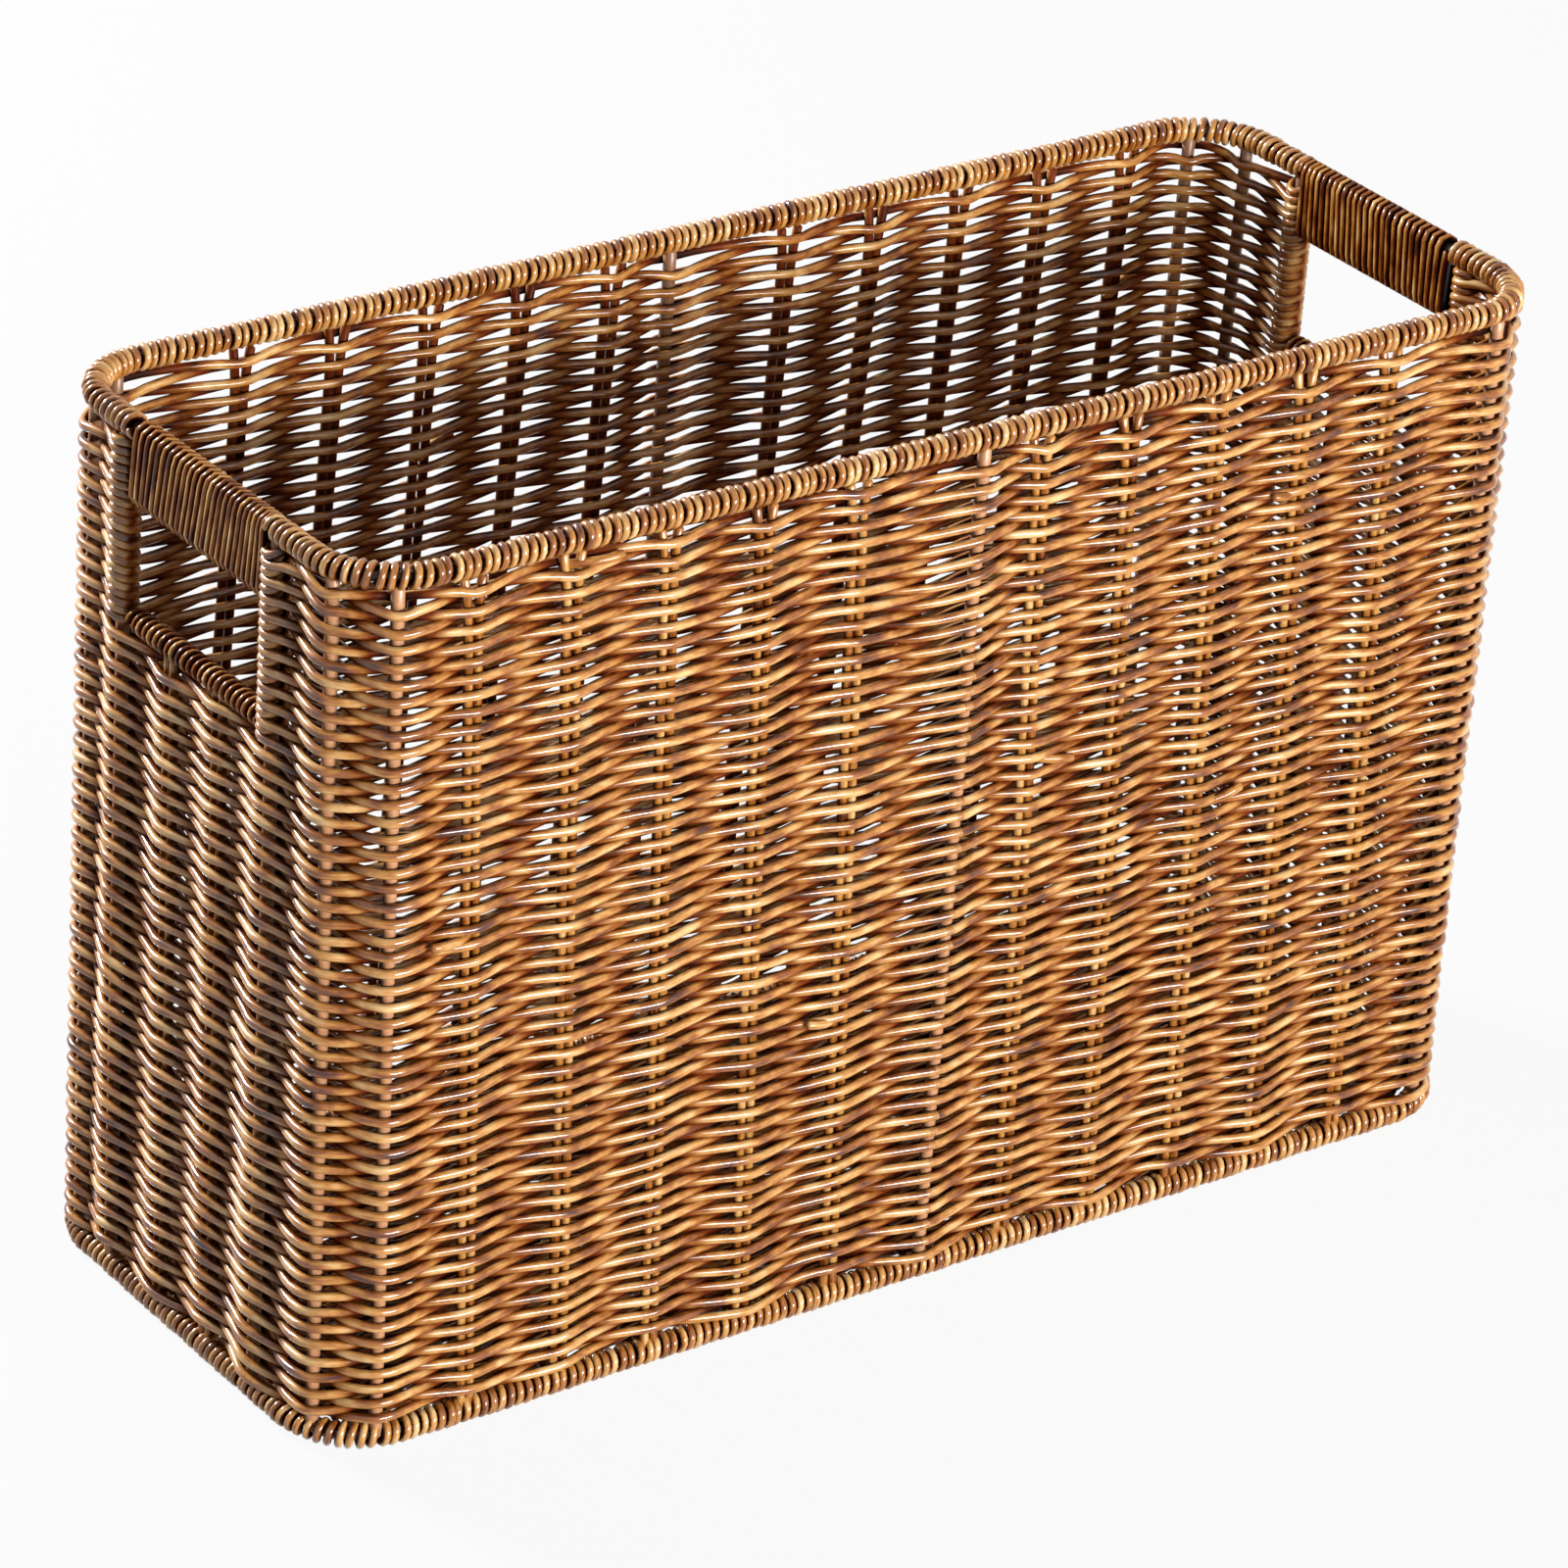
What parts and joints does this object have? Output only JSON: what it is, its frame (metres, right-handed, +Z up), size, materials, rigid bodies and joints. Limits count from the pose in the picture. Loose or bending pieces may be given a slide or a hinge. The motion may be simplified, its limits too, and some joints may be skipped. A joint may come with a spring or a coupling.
{
  "type": "magazine basket",
  "caption": "Tall oblong open-topped basket of twined varnished strands on paired stakes and coated posts, with whipped rims and a whipped hand hole in each end, for magazines and files.",
  "frame": {"origin": "on the floor, under the middle of the basket", "axes": "+X along the long sides, +Y from the front wall to the back wall, +Z up"},
  "size_m": [0.424, 0.165, 0.28],
  "materials": {
    "woven_strand": "varnished honey-brown strand with dark streaks",
    "whipping_strand": "varnished honey-brown strand with dark streaks, wound tightly",
    "stake": "varnished brown stake",
    "coated_post": "steel post with a pinkish tan coating",
    "frame_wire": "dark coated steel wire, hidden under the whipping"
  },
  "bodies": {
    "root": {"top_ring_wire": "frame_wire", "foot_ring_wire": "frame_wire", "foot_binding": "whipping_strand", "base_weave": "woven_strand", "wall_front": "woven_strand", "top_binding_front": "whipping_strand", "centre_post_front": "coated_post", "stake_pair_front_01": "stake", "stake_pair_front_02": "stake", "stake_pair_front_03": "stake", "stake_pair_front_04": "stake", "stake_pair_front_05": "stake", "stake_pair_front_06": "stake", "stake_pair_front_07": "stake", "stake_pair_front_08": "stake", "stake_pair_front_09": "stake", "stake_pair_front_10": "stake", "wall_back": "woven_strand", "top_binding_back": "whipping_strand", "centre_post_back": "coated_post", "stake_pair_back_01": "stake", "stake_pair_back_02": "stake", "stake_pair_back_03": "stake", "stake_pair_back_04": "stake", "stake_pair_back_05": "stake", "stake_pair_back_06": "stake", "stake_pair_back_07": "stake", "stake_pair_back_08": "stake", "stake_pair_back_09": "stake", "stake_pair_back_10": "stake", "wall_left": "woven_strand", "grip_core_left": "stake", "grip_winding_left": "whipping_strand", "sill_wire_left": "frame_wire", "sill_winding_left": "whipping_strand", "stake_pair_left_01": "stake", "stake_pair_left_02": "stake", "wall_right": "woven_strand", "grip_core_right": "stake", "grip_winding_right": "whipping_strand", "sill_wire_right": "frame_wire", "sill_winding_right": "whipping_strand", "stake_pair_right_01": "stake", "stake_pair_right_02": "stake", "wall_corner_front_left": "woven_strand", "handle_post_front_left": "coated_post", "corner_post_front_left_side": "coated_post", "corner_post_front_left_end": "coated_post", "wall_corner_back_left": "woven_strand", "handle_post_back_left": "coated_post", "corner_post_back_left_side": "coated_post", "corner_post_back_left_end": "coated_post", "wall_corner_back_right": "woven_strand", "handle_post_back_right": "coated_post", "corner_post_back_right_side": "coated_post", "corner_post_back_right_end": "coated_post", "wall_corner_front_right": "woven_strand", "handle_post_front_right": "coated_post", "corner_post_front_right_side": "coated_post", "corner_post_front_right_end": "coated_post"}
  },
  "joints": []
}
